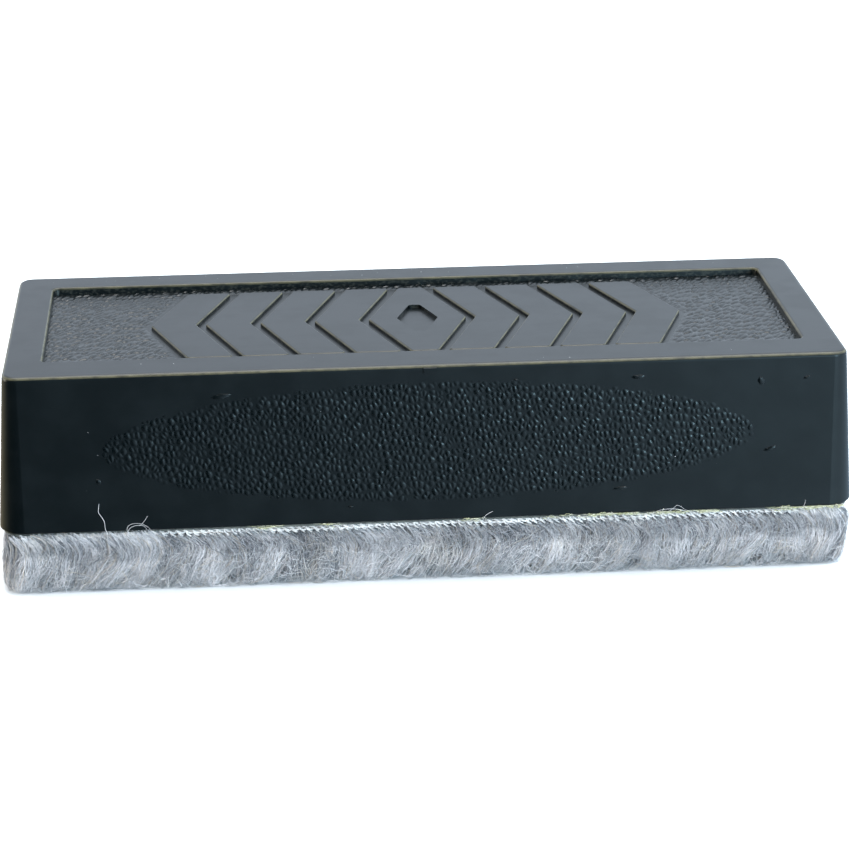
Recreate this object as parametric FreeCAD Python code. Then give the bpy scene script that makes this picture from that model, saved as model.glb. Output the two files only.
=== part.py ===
import FreeCAD, Part
import math
import os

from FreeCAD import Vector

# Chalkboard eraser: a hollow moulded handle with a deep-pile wiping pad bonded under it.
# Millimetres. +X runs along the eraser, +Y across it, +Z up; the origin is the middle of the wiping face.

# ---- handle moulding ----
HANDLE_LENGTH = 127.0       # over the open rim, where the moulding is largest
HANDLE_WIDTH = 50.8
HANDLE_HEIGHT = 23.7
DRAFT_DEG = 3.9             # every side leans in towards the top
WALL = 2.0
PANEL_THICKNESS = 2.0       # plastic left under the sunk top panel
CORNER_RADIUS = 3.8         # the four upright corners at the rim; the draft narrows them upwards
TOP_EDGE_RADIUS = 0.7
RIM_EDGE_RADIUS = 0.3

# ---- sunk top panel ----
PANEL_MARGIN_X = 5.5        # flat border at each end
PANEL_MARGIN_Y = 6.25       # mean flat border along the two long sides
PANEL_SHIFT_Y = 0.65        # the panel sits this much towards the back
PANEL_DEPTH = 1.2
PANEL_DRAFT_DEG = 8.0
PANEL_CORNER_RADIUS = 0.8
PANEL_EDGE_RADIUS = 0.45

# ---- raised ornament on the panel: a lozenge between nested chevrons ----
ORNAMENT_HEIGHT = 0.6       # above the panel floor, so it stays below the border
ORNAMENT_ROOT = 0.5         # how deep the shapes are sunk into the plastic they rise from
ORNAMENT_EDGE_RADIUS = 0.3
ORNAMENT_CORNER_RADIUS = 0.6
ORNAMENT_GAP = 1.4          # panel floor showing between neighbours
ORNAMENT_POINT = 5.5        # how far each chevron's point leads its ends
ORNAMENT_END_CLEARANCE = 15.7   # from the end of the panel to the outermost point
ORNAMENT_FRONT_CLEARANCE = 1.6
ORNAMENT_BACK_CLEARANCE = 3.2
CHEVRONS_EACH_SIDE = 4
LOZENGE_END_WIDTH = 4.0     # flat at the front and back of the lozenge
LOZENGE_HOLE_SCALE = 0.42   # the lozenge's hole against its outline

# ---- ribs inside the handle ----
RIB_THICKNESS = 1.6
RIB_COUNT = 3               # cross ribs, evenly spaced

# ---- gate mark at the middle of the front top edge ----
GATE_WIDTH = 1.9
GATE_HEIGHT = 0.8
GATE_PROUD = 0.25

# ---- wiping pad ----
PAD_INSET = 0.7             # the pad is this much smaller than the rim, all round
PAD_CORNER_RADIUS = 2.6
PILE_HEIGHT = 8.1
PILE_EDGE_RADIUS = 1.6      # worn round at the wiping face
WALE_DIAMETER = 0.7         # lengthwise chain-stitch yarns of the ground cloth
WALE_COUNT = 33
INLAY_DIAMETER = 0.4        # crosswise yarns that tie the chains together
INLAY_COUNT = 61
YARN_GAP = 0.05             # free space above and below a layer of yarns
YARN_END_INSET = 1.0        # yarns stop this far inside the pad's outline
COATING_THICKNESS = 0.25    # dried size that locks the yarns
GLUE_THICKNESS = 0.25
GLUE_INSET = 0.3            # the bead stops this far inside the pad's outline
GLUE_RIM_WIDTH = 1.5
GLUE_RIB_OVERHANG = 0.4     # the squeezed bead is this much wider than its rib, each side
GLUE_BEAD_GAP = 1.6         # clear space between a rib's bead and the rim bead

TOOL_OVERRUN = 1.0          # cutting tools run past the faces they cut by this much

# Heights of the layers, from the wiping face up
wale_z = PILE_HEIGHT + YARN_GAP + WALE_DIAMETER / 2
inlay_z = wale_z + WALE_DIAMETER / 2 + YARN_GAP + INLAY_DIAMETER / 2
coating_z = inlay_z + INLAY_DIAMETER / 2 + YARN_GAP
glue_z = coating_z + COATING_THICKNESS
rim_z = glue_z + GLUE_THICKNESS
top_z = rim_z + HANDLE_HEIGHT
floor_z = top_z - PANEL_DEPTH
cavity_top = floor_z - PANEL_THICKNESS

# Outlines that follow from the handle
draft_slope = math.tan(math.radians(DRAFT_DEG))
wall_across = WALL / math.cos(math.radians(DRAFT_DEG))
top_lean = HANDLE_HEIGHT * draft_slope
panel_length = HANDLE_LENGTH - 2 * (top_lean + PANEL_MARGIN_X)
panel_width = HANDLE_WIDTH - 2 * (top_lean + PANEL_MARGIN_Y)
pad_half_x = HANDLE_LENGTH / 2 - PAD_INSET
pad_half_y = HANDLE_WIDTH / 2 - PAD_INSET


def outline(half_x, half_y, radius, z, y_mid=0.0):
    """A closed rectangle with rounded corners at height z."""
    corners = ((1, 1, 0), (-1, 1, 90), (-1, -1, 180), (1, -1, 270))
    arcs = []
    for side_x, side_y, start in corners:
        centre = Vector(side_x * (half_x - radius), y_mid + side_y * (half_y - radius), z)
        circle = Part.Circle(centre, Vector(0, 0, 1), radius)
        arcs.append(Part.Arc(circle, math.radians(start), math.radians(start + 90)).toShape())
    edges = []
    for i, arc in enumerate(arcs):
        following = arcs[(i + 1) % len(arcs)]
        edges.append(arc)
        edges.append(Part.LineSegment(arc.Vertexes[-1].Point, following.Vertexes[0].Point).toShape())
    return Part.Wire(edges)


def tapered(half_x, half_y, radius, z_low, z_high, draft_deg, y_mid=0.0):
    """A block with rounded corners whose sides lean in by draft_deg from z_low to z_high."""
    lean = math.tan(math.radians(draft_deg)) * (z_high - z_low)
    low = outline(half_x, half_y, radius, z_low, y_mid)
    high = outline(half_x - lean, half_y - lean, radius - lean, z_high, y_mid)
    return Part.makeLoft([low, high], True, True)


def block(x0, x1, y0, y1, z0, z1):
    """A plain box between two corners."""
    return Part.makeBox(x1 - x0, y1 - y0, z1 - z0, Vector(x0, y0, z0))


def rounded(solid, radius, chosen):
    """The solid with the edges that chosen() accepts rounded to radius."""
    return solid.makeFillet(radius, [edge for edge in solid.Edges if chosen(edge)])


def upright(edge):
    """True for an edge that climbs more than it runs sideways."""
    a = edge.Vertexes[0].Point
    b = edge.Vertexes[-1].Point
    return abs(a.z - b.z) > math.hypot(a.x - b.x, a.y - b.y)


def at_height(z):
    """A test for edges that lie wholly at height z."""
    def test(edge):
        return max(abs(edge.BoundBox.ZMin - z), abs(edge.BoundBox.ZMax - z)) < 1e-4
    return test


def panel_mouth(edge):
    """True for the edges where the walls of the sunk panel meet the flat border."""
    return at_height(top_z)(edge) and abs(edge.BoundBox.Center.x) < (panel_length + PANEL_MARGIN_X) / 2 \
        and abs(edge.BoundBox.Center.y) < (panel_width + PANEL_MARGIN_Y) / 2


def outer_body():
    """The outside of the handle as a full block."""
    body = tapered(HANDLE_LENGTH / 2, HANDLE_WIDTH / 2, CORNER_RADIUS, rim_z, top_z, DRAFT_DEG)
    body = rounded(body, TOP_EDGE_RADIUS, at_height(top_z))
    return rounded(body, RIM_EDGE_RADIUS, at_height(rim_z))


def cavity():
    """The hollow under the top panel, open at the rim."""
    inset = wall_across - TOOL_OVERRUN * draft_slope
    return tapered(HANDLE_LENGTH / 2 - inset, HANDLE_WIDTH / 2 - inset, CORNER_RADIUS - inset,
                   rim_z - TOOL_OVERRUN, cavity_top, DRAFT_DEG)


def sunk_panel():
    """The tool that sinks the top panel: its walls lean outwards towards the top."""
    lean = math.tan(math.radians(PANEL_DRAFT_DEG)) * PANEL_DEPTH
    return tapered(panel_length / 2 - lean, panel_width / 2 - lean, PANEL_CORNER_RADIUS,
                   floor_z, top_z + TOOL_OVERRUN, -PANEL_DRAFT_DEG, PANEL_SHIFT_Y)


def prism(points, z_low, z_high):
    """An upright block over a polygon, with its upright corners rounded."""
    corners = [Vector(x, y, z_low) for x, y in points]
    face = Part.Face(Part.makePolygon(corners + [corners[0]]))
    return rounded(face.extrude(Vector(0, 0, z_high - z_low)), ORNAMENT_CORNER_RADIUS, upright)


def raised(points):
    """A raised shape rooted in the panel floor, with a softened top edge."""
    height = floor_z + ORNAMENT_HEIGHT
    return rounded(prism(points, floor_z - ORNAMENT_ROOT, height), ORNAMENT_EDGE_RADIUS, at_height(height))


def ornament():
    """The lozenge and its chevrons, each a separate solid until it joins the panel."""
    front = PANEL_SHIFT_Y - panel_width / 2 + ORNAMENT_FRONT_CLEARANCE
    back = PANEL_SHIFT_Y + panel_width / 2 - ORNAMENT_BACK_CLEARANCE
    middle = (front + back) / 2
    depth = back - middle
    end = LOZENGE_END_WIDTH / 2
    tip = ORNAMENT_POINT + end
    pitch = (panel_length / 2 - ORNAMENT_END_CLEARANCE - tip) / CHEVRONS_EACH_SIDE

    def lozenge(scale):
        corners = ((-tip, 0), (-end, -depth), (end, -depth), (tip, 0), (end, depth), (-end, depth))
        return [(scale * x, middle + scale * y) for x, y in corners]

    shapes = [raised(lozenge(1)).cut(prism(lozenge(LOZENGE_HOLE_SCALE), floor_z, top_z))]
    for side in (-1, 1):
        for k in range(CHEVRONS_EACH_SIDE):
            near = tip + k * pitch + ORNAMENT_GAP
            far = tip + (k + 1) * pitch
            shapes.append(raised([(side * near, middle),
                                  (side * (near - ORNAMENT_POINT), front),
                                  (side * (far - ORNAMENT_POINT), front),
                                  (side * far, middle),
                                  (side * (far - ORNAMENT_POINT), back),
                                  (side * (near - ORNAMENT_POINT), back)]))
    return shapes


def rib_centres():
    """Where the cross ribs stand along X, evenly spaced between the end walls."""
    bay = (HANDLE_LENGTH - 2 * WALL) / (RIB_COUNT + 1)
    return [(i + 1) * bay - (HANDLE_LENGTH / 2 - WALL) for i in range(RIB_COUNT)]


def ribs():
    """The cross ribs, rooted in the middle of the walls and of the panel."""
    half = RIB_THICKNESS / 2
    root_z = cavity_top + PANEL_THICKNESS / 2
    inset = wall_across / 2
    room = tapered(HANDLE_LENGTH / 2 - inset, HANDLE_WIDTH / 2 - inset, CORNER_RADIUS - inset,
                   rim_z, root_z, DRAFT_DEG)
    return [room.common(block(x - half, x + half, -HANDLE_WIDTH / 2, HANDLE_WIDTH / 2, rim_z, root_z))
            for x in rib_centres()]


def gate_mark():
    """The small stub left where the moulding was cut from its runner."""
    z_high = top_z - TOP_EDGE_RADIUS / 2
    z_low = z_high - GATE_HEIGHT
    face_y = (z_low - rim_z) * draft_slope - HANDLE_WIDTH / 2
    return block(-GATE_WIDTH / 2, GATE_WIDTH / 2, face_y - GATE_PROUD, face_y + WALL / 2, z_low, z_high)


def handle_shell():
    """The whole moulding: walls, sunk panel, ornament, ribs and gate mark in one solid."""
    shell = rounded(outer_body().cut(sunk_panel()), PANEL_EDGE_RADIUS, panel_mouth)
    shell = shell.cut(cavity())
    for shape in ribs() + ornament() + [gate_mark()]:
        shell = shell.fuse(shape)
    return shell.removeSplitter()


def pad_layer(z_low, z_high, inset=0.0):
    """A flat layer of the pad with its rounded outline."""
    half_x = pad_half_x - inset
    half_y = pad_half_y - inset
    layer = block(-half_x, half_x, -half_y, half_y, z_low, z_high)
    return rounded(layer, PAD_CORNER_RADIUS - inset, upright)


def pile():
    """The fibre mass, worn round along the wiping face."""
    return rounded(pad_layer(0.0, PILE_HEIGHT), PILE_EDGE_RADIUS, at_height(0.0))


def yarn(start, end, diameter):
    """A straight round yarn between two points."""
    run = end - start
    return Part.makeCylinder(diameter / 2, run.Length, start, run)


def wale_places():
    """Where the lengthwise yarns lie across the pad, outermost first and last."""
    edge_y = pad_half_y - WALE_DIAMETER / 2
    pitch = 2 * edge_y / (WALE_COUNT - 1)
    return [i * pitch - edge_y for i in range(WALE_COUNT)]


def lengthwise_yarns(places, reach):
    """Chain-stitch yarns along the pad, side by side over the pile."""
    return Part.makeCompound([yarn(Vector(-reach, y, wale_z), Vector(reach, y, wale_z), WALE_DIAMETER)
                              for y in places])


def ground_wales():
    """The yarns hidden inside the cloth."""
    return lengthwise_yarns(wale_places()[1:-1], pad_half_x - YARN_END_INSET)


def edge_chains():
    """The two outermost yarns, which show along the pad's long edges and stop short of its corners."""
    places = wale_places()
    return lengthwise_yarns([places[0], places[-1]], pad_half_x - YARN_END_INSET - PAD_CORNER_RADIUS)


def ground_inlays():
    """Crosswise yarns that lie over the wales."""
    half_y = pad_half_y - YARN_END_INSET
    edge_x = pad_half_x - YARN_END_INSET - PAD_CORNER_RADIUS
    pitch = 2 * edge_x / (INLAY_COUNT - 1)
    places = [i * pitch - edge_x for i in range(INLAY_COUNT)]
    return Part.makeCompound([yarn(Vector(x, -half_y, inlay_z), Vector(x, half_y, inlay_z), INLAY_DIAMETER)
                              for x in places])


def back_coating():
    """The dried size that stiffens the ground cloth."""
    return pad_layer(coating_z, glue_z)


def rim_glue():
    """The hot-melt bead between the coating and the handle's rim."""
    bead = pad_layer(glue_z, rim_z, GLUE_INSET)
    half_x = pad_half_x - GLUE_INSET - GLUE_RIM_WIDTH
    half_y = pad_half_y - GLUE_INSET - GLUE_RIM_WIDTH
    return bead.cut(block(-half_x, half_x, -half_y, half_y, glue_z, rim_z))


def rib_glue():
    """The squeezed beads under the ribs, clear of the rim bead."""
    half_x = RIB_THICKNESS / 2 + GLUE_RIB_OVERHANG
    half_y = pad_half_y - GLUE_INSET - GLUE_RIM_WIDTH - GLUE_BEAD_GAP
    beads = [block(x - half_x, x + half_x, -half_y, half_y, glue_z, rim_z) for x in rib_centres()]
    return Part.makeCompound([rounded(bead, half_x / 2, upright) for bead in beads])


pieces = {
    "handle_shell": handle_shell,
    "rim_glue_bead": rim_glue,
    "rib_glue_beads": rib_glue,
    "back_coating": back_coating,
    "ground_inlay_yarns": ground_inlays,
    "ground_wale_yarns": ground_wales,
    "edge_chain_yarns": edge_chains,
    "pile": pile,
}

os.makedirs("parts", exist_ok=True)
for node, make in pieces.items():
    shape = make()
    print(node, "solids", len(shape.Solids), "volume", round(shape.Volume, 2), "valid", shape.isValid())
    shape.exportStep(os.path.join("parts", node + ".step"))
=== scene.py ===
import bpy
import bmesh
import math
import numpy as np
from mathutils import Vector, Matrix


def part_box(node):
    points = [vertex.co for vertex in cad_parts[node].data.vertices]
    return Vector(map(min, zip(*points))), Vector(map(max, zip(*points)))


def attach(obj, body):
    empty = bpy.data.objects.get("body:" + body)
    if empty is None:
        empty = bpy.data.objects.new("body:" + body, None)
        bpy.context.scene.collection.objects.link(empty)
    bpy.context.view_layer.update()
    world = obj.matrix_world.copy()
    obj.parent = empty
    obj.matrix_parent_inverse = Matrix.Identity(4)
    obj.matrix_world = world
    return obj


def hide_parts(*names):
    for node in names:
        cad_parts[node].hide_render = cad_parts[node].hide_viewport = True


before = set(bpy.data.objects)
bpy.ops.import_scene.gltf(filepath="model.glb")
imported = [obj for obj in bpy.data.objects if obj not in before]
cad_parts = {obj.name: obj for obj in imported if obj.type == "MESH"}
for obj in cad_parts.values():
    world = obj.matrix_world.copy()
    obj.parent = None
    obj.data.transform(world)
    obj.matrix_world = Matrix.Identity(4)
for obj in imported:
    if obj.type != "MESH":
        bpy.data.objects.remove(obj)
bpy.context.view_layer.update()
mm = 0.001
print("stage: frame loaded")


def toScene(obj):
    bpy.context.scene.collection.objects.link(obj)
    return obj


def linkPiece(obj, slotName, *replaced):
    # puts a finished piece in the scene, on the one body that the eraser has
    toScene(obj)
    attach(obj, "root")
    if replaced:
        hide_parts(*replaced)
    print("  ", obj.name, len(obj.data.polygons), "faces")
    return obj


def meshObject(name, bm, materials, smooth=True):
    mesh = bpy.data.meshes.new(name)
    bm.to_mesh(mesh)
    bm.free()
    for material in materials:
        mesh.materials.append(material)
    mesh.polygons.foreach_set("use_smooth", [smooth] * len(mesh.polygons))
    return bpy.data.objects.new(name, mesh)


def smoothRamp(value, low, high):
    t = np.clip((value - low) / (high - low), 0.0, 1.0)
    return t * t * (3.0 - 2.0 * t)


def startMaterial(name):
    material = bpy.data.materials.new(name)
    material.use_nodes = True
    tree = material.node_tree
    shader = tree.nodes["Principled BSDF"]
    return material, tree, shader


def addNode(tree, kind, **values):
    node = tree.nodes.new(kind)
    for key, value in values.items():
        if key in node.inputs:
            node.inputs[key].default_value = value
        else:
            setattr(node, key, value)
    return node


def feed(tree, item, socket):
    # a socket takes a plain value or what another socket puts out
    if isinstance(item, bpy.types.NodeSocket):
        tree.links.new(item, socket)
    else:
        socket.default_value = (*item, 1.0) if isinstance(item, tuple) else item


def noiseOf(tree, coords, scale, detail=3.0):
    node = addNode(tree, "ShaderNodeTexNoise", Detail=detail, Roughness=0.55)
    feed(tree, coords, node.inputs["Vector"])
    feed(tree, scale, node.inputs["Scale"])
    return node.outputs["Fac"]


def rampOf(tree, value, low, high, toLow=0.0, toHigh=1.0):
    ends = {"From Min": low, "From Max": high, "To Min": toLow, "To Max": toHigh}
    node = addNode(tree, "ShaderNodeMapRange", interpolation_type="SMOOTHSTEP", **ends)
    feed(tree, value, node.inputs["Value"])
    return node.outputs["Result"]


def mathOf(tree, operation, *items):
    node = addNode(tree, "ShaderNodeMath", operation=operation)
    for socket, item in zip(node.inputs, items):
        feed(tree, item, socket)
    return node.outputs[0]


def axesOf(tree, vector):
    # the X, Y and Z of a vector, as sockets by name
    node = addNode(tree, "ShaderNodeSeparateXYZ")
    tree.links.new(vector, node.inputs[0])
    return node.outputs


def stretched(tree, coords, scale):
    node = addNode(tree, "ShaderNodeMapping", Scale=scale)
    tree.links.new(coords, node.inputs["Vector"])
    return node.outputs["Vector"]


def objectCoords(tree):
    return addNode(tree, "ShaderNodeTexCoord").outputs["Object"]


def addBump(tree, shader, height, strength, distance):
    bump = addNode(tree, "ShaderNodeBump", Strength=strength, Distance=distance)
    tree.links.new(height, bump.inputs["Height"])
    tree.links.new(bump.outputs["Normal"], shader.inputs["Normal"])


def nodeGroup(name, inputs, outputs):
    group = bpy.data.node_groups.new(name, "ShaderNodeTree")
    for side, sockets in (("INPUT", inputs), ("OUTPUT", outputs)):
        for socketName, kind in sockets:
            group.interface.new_socket(name=socketName, in_out=side, socket_type="NodeSocket" + kind)
    return group, group.nodes.new("NodeGroupInput").outputs, group.nodes.new("NodeGroupOutput").inputs


def placeGroup(tree, group, **values):
    # the spaces in a socket's name are underscores here
    node = tree.nodes.new("ShaderNodeGroup")
    node.node_tree = group
    for key, value in values.items():
        feed(tree, value, node.inputs[key.replace("_", " ")])
    return node.outputs


def mixColour(tree, factor, a, b, blend="MIX"):
    node = addNode(tree, "ShaderNodeMix", data_type="RGBA", blend_type=blend)
    for index, item in ((0, factor), (6, a), (7, b)):
        feed(tree, item, node.inputs[index])
    return node.outputs[2]


cameraSetup = {
    "place": (-29.55, -385.68, 162.86),   # mm
    "yaw": 4.544,                         # degrees to the right of +Y
    "pitch": 20.889,                      # degrees down
    "roll": -0.315,
    "lens": 112.4,
}


def makeCamera(setup):
    data = bpy.data.cameras.new("studioCamera")
    data.lens = setup["lens"]
    data.clip_start = 0.01
    data.clip_end = 20.0
    data.dof.use_dof = False
    camera = toScene(bpy.data.objects.new("studioCamera", data))
    yaw, pitch, roll = (math.radians(setup[k]) for k in ("yaw", "pitch", "roll"))
    forward = Vector((math.sin(yaw) * math.cos(pitch), math.cos(yaw) * math.cos(pitch), -math.sin(pitch)))
    right = Vector((math.cos(yaw), -math.sin(yaw), 0.0))
    up = right.cross(forward)
    rolledRight = right * math.cos(roll) + up * math.sin(roll)
    rolledUp = up * math.cos(roll) - right * math.sin(roll)
    turn = Matrix((rolledRight, rolledUp, -forward)).transposed().to_4x4()
    camera.matrix_world = Matrix.Translation(Vector(setup["place"]) * mm) @ turn
    bpy.context.scene.camera = camera


makeCamera(cameraSetup)
print("stage: camera")


studio = {
    "floorColour": (0.86, 0.87, 0.88),
    "floorSize": 4.0,
    "frontLeftSky": (0.0, 0.012, 0.018),   # what the long front side mirrors, dark to the left
    "frontRightSky": (0.88, 1.20, 1.46),
    "backLeftSky": (1.06, 1.20, 1.38),     # what the top mirrors
    "backRightSky": (1.21, 1.40, 1.62),
    "turnToRight": (-0.11, 0.37),          # along which each sky blends into the next
    "turnToBack": (-0.35, 0.65),
    "turnUp": (-0.22, 0.0),
    "lowLeftSky": (0.66, 0.60, 0.38),      # low behind, mirrored by the upright corners
    "lowRightSky": (0.60, 0.84, 1.08),
    "lights": [
        # name, place, aims at, width, height, power, colour
        ("overheadSoftbox", (0.10, 0.15, 0.95), (0.0, 0.0, 0.0), 1.1, 0.9, 15.5, (1.0, 0.985, 0.95)),
        ("rightFrontSoftbox", (0.39, -0.70, 0.13), (0.0, 0.0, 0.02), 0.11, 0.15, 2.2, (0.52, 0.84, 1.0)),
        ("rightSoftbox", (0.70, 0.10, 0.22), (0.05, 0.0, 0.02), 0.25, 0.35, 3.6, (0.70, 0.86, 1.0)),
        ("leftSoftbox", (-0.62, 0.10, 0.12), (-0.06, 0.0, 0.02), 0.22, 0.20, 1.3, (1.0, 0.93, 0.68)),
        ("frontFill", (-0.20, -0.70, 0.75), (0.0, 0.0, 0.0), 0.6, 0.4, 5.0, (0.98, 0.98, 1.0)),
    ],
    "unmirrored": ("frontFill", "rightSoftbox"),   # these two light the pad but don't glare on the plastic
}


def makeStudio(setup):
    scene = bpy.context.scene
    scene.view_settings.view_transform = "Standard"
    floorBm = bmesh.new()
    bmesh.ops.create_grid(floorBm, x_segments=1, y_segments=1, size=setup["floorSize"] / 2)
    material, tree, shader = startMaterial("paleFloor")
    tint = noiseOf(tree, objectCoords(tree), 3.0, 2.0)
    shade = tuple(c * 0.985 for c in setup["floorColour"])
    colour = mixColour(tree, tint, setup["floorColour"], shade)
    tree.links.new(colour, shader.inputs["Base Color"])
    shader.inputs["Roughness"].default_value = 0.85
    shader.inputs["Specular IOR Level"].default_value = 0.15
    floor = meshObject("studioFloor", floorBm, [material], smooth=False)
    floor.visible_glossy = False       # the dark satin plastic mirrors the dim room, as beside a window
    toScene(floor)
    for name, place, aim, width, height, power, colour in setup["lights"]:
        data = bpy.data.lights.new(name, "AREA")
        data.shape = "RECTANGLE"
        data.size = width
        data.size_y = height
        data.energy = power
        data.color = colour
        light = toScene(bpy.data.objects.new(name, data))
        light.visible_glossy = name not in setup["unmirrored"]
        direction = Vector(aim) - Vector(place)
        aimed = direction.to_track_quat("-Z", "Y").to_matrix().to_4x4()
        light.matrix_world = Matrix.Translation(place) @ aimed
    world = bpy.data.worlds.new("studioWorld")
    world.use_nodes = True
    scene.world = world
    tree = world.node_tree
    parts = axesOf(tree, addNode(tree, "ShaderNodeTexCoord").outputs["Generated"])
    towardsBack = rampOf(tree, parts["Y"], *setup["turnToBack"])
    towardsRight = rampOf(tree, parts["X"], *setup["turnToRight"])
    front = mixColour(tree, towardsRight, setup["frontLeftSky"], setup["frontRightSky"])
    back = mixColour(tree, towardsRight, setup["backLeftSky"], setup["backRightSky"])
    low = mixColour(tree, towardsRight, setup["lowLeftSky"], setup["lowRightSky"])
    back = mixColour(tree, rampOf(tree, parts["Z"], *setup["turnUp"]), low, back)
    colour = mixColour(tree, towardsBack, front, back)
    tree.links.new(colour, tree.nodes["Background"].inputs["Color"])


makeStudio(studio)
print("stage: studio")


plastic = {
    "deep": (0.0012, 0.0028, 0.0034),
    "worn": (0.0024, 0.0044, 0.0052),
    "cloudScale": 160.0,
    "specular": 0.38,
    "roughLow": 0.31,
    "roughHigh": 0.355,
    "edge": (0.070, 0.064, 0.036),     # painted olive reflection along the rounded edges
    "outerTilt": (0.42, 0.60),         # how far up a rounded edge faces where its painted reflection begins
    "innerTilt": (0.14, 0.34),
    "flatTilt": (0.80, 0.97),          # and where it ends
    "paintedReflectionRise": (0.0305, 0.0325),      # m, the painted reflection is on the top edges alone
    "panelFront": (-0.0224, -0.0216),  # m, where the sunk panel begins and ends
    "panelBack": (0.0206, 0.0214),
    "panelEnd": (0.0594, 0.0600),
    "wallDash": (0.032, 0.034, 0.029),
    "wallTilt": (0.10, 0.30),
    "wallRise": (0.0321, 0.0324),
    "lines": 0.30,                     # weights of the tool lines, the satin and the slow ripple in the relief
    "satin": 0.16,
    "ripple": 0.12,
}


def satinGroup():
    # what both plastics share: a cloudy tint, worn here and there, and the fine satin of the mould
    group, given, result = nodeGroup(
        "satinPlastic", [("Deep", "Color"), ("Worn", "Color"), ("Cloud Scale", "Float")],
        [("Colour", "Color"), ("Cloud", "Float"), ("Wear", "Float"), ("Satin", "Float")])
    coords = objectCoords(group)
    cloud = noiseOf(group, coords, given["Cloud Scale"], 4.0)
    wear = rampOf(group, cloud, 0.35, 0.7)
    group.links.new(mixColour(group, wear, given["Deep"], given["Worn"]), result["Colour"])
    group.links.new(cloud, result["Cloud"])
    group.links.new(wear, result["Wear"])
    group.links.new(noiseOf(group, coords, 5200.0, 2.0), result["Satin"])
    return group


satinPlastic = satinGroup()


def startPlastic(name, values):
    material, tree, shader = startMaterial(name)
    shader.inputs["Specular IOR Level"].default_value = values["specular"]
    satin = placeGroup(tree, satinPlastic, Deep=values["deep"], Worn=values["worn"],
                       Cloud_Scale=values["cloudScale"])
    return material, tree, shader, satin


def blackPlastic(values):
    material, tree, shader, satin = startPlastic("blackPlastic", values)
    coords = objectCoords(tree)
    place = axesOf(tree, coords)
    normal = axesOf(tree, addNode(tree, "ShaderNodeNewGeometry").outputs["Normal"])

    def times(a, b):
        return mathOf(tree, "MULTIPLY", a, b)

    def plus(a, b):
        return mathOf(tree, "ADD", a, b)

    def outside(value, low, high):
        return rampOf(tree, value, low, high, 1.0, 0.0)

    inPanel = times(rampOf(tree, place["Y"], *values["panelFront"]), outside(place["Y"], *values["panelBack"]))
    inPanel = times(inPanel, outside(mathOf(tree, "ABSOLUTE", place["X"]), *values["panelEnd"]))
    # rounded top edges face between up and sideways, and only there is the olive reflection painted into the
    # colour
    innerEdge = times(rampOf(tree, normal["Z"], *values["innerTilt"]), inPanel)
    outerEdge = times(rampOf(tree, normal["Z"], *values["outerTilt"]), mathOf(tree, "SUBTRACT", 1.0, inPanel))
    onEdge = times(plus(innerEdge, outerEdge), outside(normal["Z"], *values["flatTilt"]))
    paintedEdgeReflection = times(onEdge, rampOf(tree, place["Z"], *values["paintedReflectionRise"]))
    patchy = rampOf(tree, noiseOf(tree, coords, 420.0, 3.0), 0.30, 0.62, 0.35, 1.0)
    base = mixColour(tree, times(paintedEdgeReflection, patchy), satin["Colour"], values["edge"])
    # the panel's upright walls get short grey dashes
    dashes = noiseOf(tree, stretched(tree, coords, (1500.0, 1500.0, 2600.0)), 1.0, 2.0)
    dashes = rampOf(tree, dashes, 0.50, 0.60)
    onWall = times(outside(normal["Z"], *values["wallTilt"]), rampOf(tree, place["Z"], *values["wallRise"]))
    base = mixColour(tree, times(times(onWall, inPanel), dashes), base, values["wallDash"])
    tree.links.new(base, shader.inputs["Base Color"])

    streak = noiseOf(tree, stretched(tree, coords, (60.0, 420.0, 420.0)), 1.0, 4.0)
    rubbed = plus(times(streak, 0.55), times(satin["Wear"], 0.45))
    rough = rampOf(tree, rubbed, 0.25, 0.75, values["roughLow"], values["roughHigh"])
    tree.links.new(rough, shader.inputs["Roughness"])

    # fine horizontal tool lines on the ends, round the upright corners and low on the long sides
    lines = addNode(tree, "ShaderNodeTexWave", wave_type="BANDS", bands_direction="Z",
                    Scale=1150.0, Distortion=1.2, Detail=1.0)
    tree.links.new(coords, lines.inputs["Vector"])
    onEnds = rampOf(tree, mathOf(tree, "ABSOLUTE", normal["X"]), 0.10, 0.45)
    nearRim = rampOf(tree, place["Z"], 0.0118, 0.0138, 0.55, 0.0)
    toolLines = times(lines.outputs["Fac"], mathOf(tree, "MAXIMUM", onEnds, nearRim))
    height = plus(times(toolLines, values["lines"]), times(satin["Satin"], values["satin"]))
    height = plus(height, times(noiseOf(tree, coords, 330.0, 3.0), values["ripple"]))
    addBump(tree, shader, height, 0.30, 0.00006)
    return material


grainFinish = dict(plastic, worn=(0.0026, 0.0046, 0.0054), cloudScale=240.0, roughLow=0.25, roughHigh=0.32)


def grainedPlastic(values):
    material, tree, shader, satin = startPlastic("grainedPlastic", values)
    tree.links.new(satin["Colour"], shader.inputs["Base Color"])
    rough = rampOf(tree, satin["Cloud"], 0.3, 0.7, values["roughLow"], values["roughHigh"])
    tree.links.new(rough, shader.inputs["Roughness"])
    addBump(tree, shader, satin["Satin"], 0.15, 0.00004)
    return material


plasticMaterial = blackPlastic(plastic)
grainMaterial = grainedPlastic(grainFinish)
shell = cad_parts["handle_shell"]
shell.data.materials.clear()
shell.data.materials.append(plasticMaterial)
print("stage: plastic")


# pebble grain, moulded into the long sides and the sunk panel
grain = {
    "cell": 0.82,          # mm between neighbouring pebbles
    "height": 0.108,       # mm
    "valley": 0.25,        # mm, how far a pebble takes to rise
    "lift": 0.012,         # mm, the grain's base over the plastic it is moulded on
    "skirt": 0.45,         # mm, how far the plate's border goes into the plastic
    "crown": 0.8,          # 0 for flat-topped pebbles, 1 for round ones
    "stretch": 0.80,       # under 1, the pebbles are longer up the face than across it
    "skew": 0.18,
    "fade": 1.3,           # mm over which the pebbles die away at the border
    "lip": 0.04,           # mm that the border dips
}


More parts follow.
